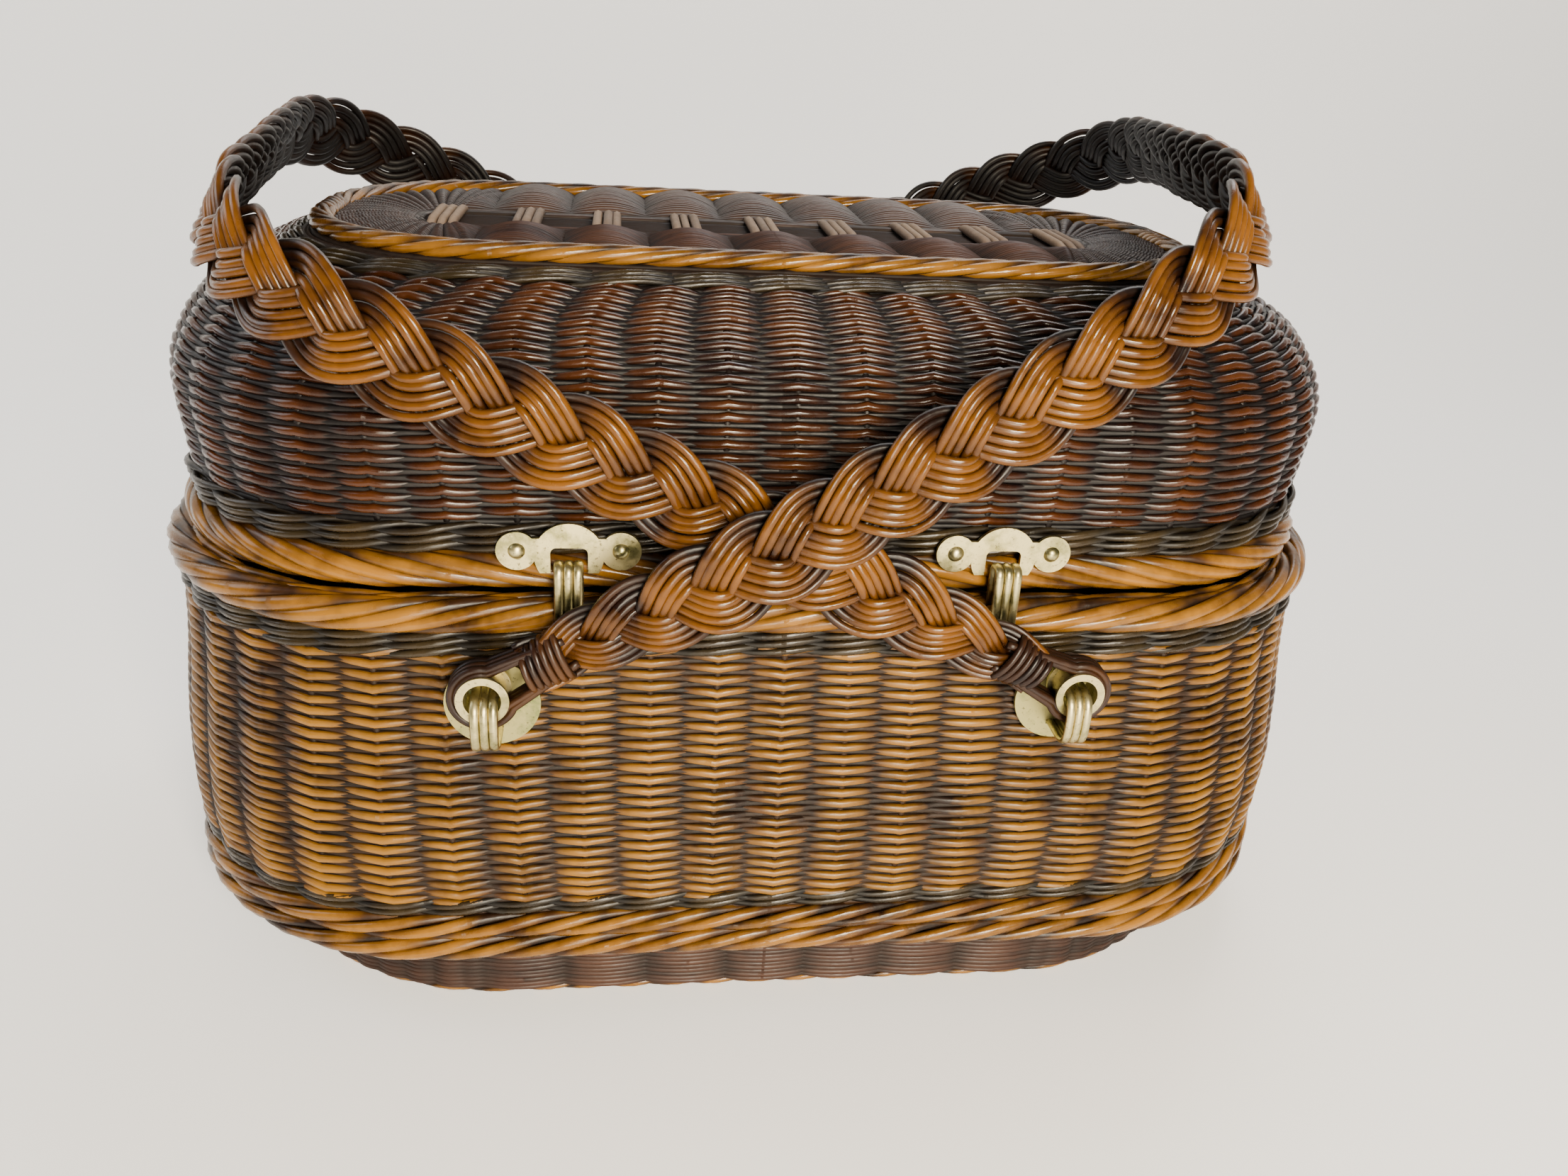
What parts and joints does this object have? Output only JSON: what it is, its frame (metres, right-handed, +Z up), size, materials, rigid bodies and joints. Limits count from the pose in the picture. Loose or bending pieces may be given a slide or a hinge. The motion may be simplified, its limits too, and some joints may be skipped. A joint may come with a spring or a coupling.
{
  "type": "lidded wicker basket",
  "caption": "Woven cane laundry basket with a bulging hinged lid, brass hasps and two plaited swing handles that cross over the front.",
  "frame": {"origin": "on the surface it stands on, under the middle of the basket", "axes": "+X to the right along the length, +Y towards the hinges at the back, +Z up"},
  "size_m": [0.4152, 0.306, 0.2942],
  "materials": {
    "cane_body": "woven, stained and varnished cane",
    "cane_dark": "woven dark green-black cane rows",
    "cane_border": "rolled and twisted cane borders",
    "cane_lid": "woven purple-brown cane",
    "cane_top": "fine dusty cane weave",
    "cane_rods": "pale peeled cane rods",
    "cane_plait": "glossy plaited cane",
    "brass": "tarnished satin brass"
  },
  "bodies": {
    "body": {"foot_ring": "cane_body", "base_panel": "cane_body", "base_rods": "cane_rods", "base_wale": "cane_border", "body_wall": "cane_body", "rim_wale": "cane_dark", "rim_border": "cane_border", "hasp_staples": "brass", "handle_discs": "brass", "handle_washers": "brass", "handle_loops": "brass", "hinge_body_leaves": "brass", "hinge_body_rivets": "brass", "hinge_pins": "brass"},
    "lid": {"lid_bottom_border": "cane_border", "lid_wale": "cane_dark", "lid_wall": "cane_lid", "lid_top_border": "cane_border", "lid_top_panel": "cane_top", "lid_top_rods": "cane_rods", "hasp_plates": "brass", "hasp_rivets": "brass", "hasp_washers": "brass", "hinge_lid_leaves": "brass", "hinge_lid_rivets": "brass"},
    "handle_a": {"handle_a_braid": "cane_plait", "handle_a_eyelets": "brass"},
    "handle_b": {"handle_b_braid": "cane_plait", "handle_b_eyelets": "brass"}
  },
  "joints": [
    {"name": "lid_hinge", "type": "hinge", "parent": "body", "child": "lid", "pos_m": [0, 0.1298, 0.155], "axis": [-1, 0, 0], "range_deg": [0, 100], "deforming": ["handle_a_braid", "handle_b_braid"]},
    {"name": "handle_a_swing", "type": "hinge", "parent": "body", "child": "handle_a", "pos_m": [0.091, 0, 0.129], "axis": [0, 1, 0], "range_deg": [0, 172]},
    {"name": "handle_b_swing", "type": "hinge", "parent": "body", "child": "handle_b", "pos_m": [-0.091, 0, 0.129], "axis": [0, -1, 0], "range_deg": [0, 168]}
  ],
  "couplings": [
    {"joint": "handle_a_swing", "follows": "lid_hinge", "ratio": 1.72},
    {"joint": "handle_b_swing", "follows": "lid_hinge", "ratio": 1.68}
  ]
}
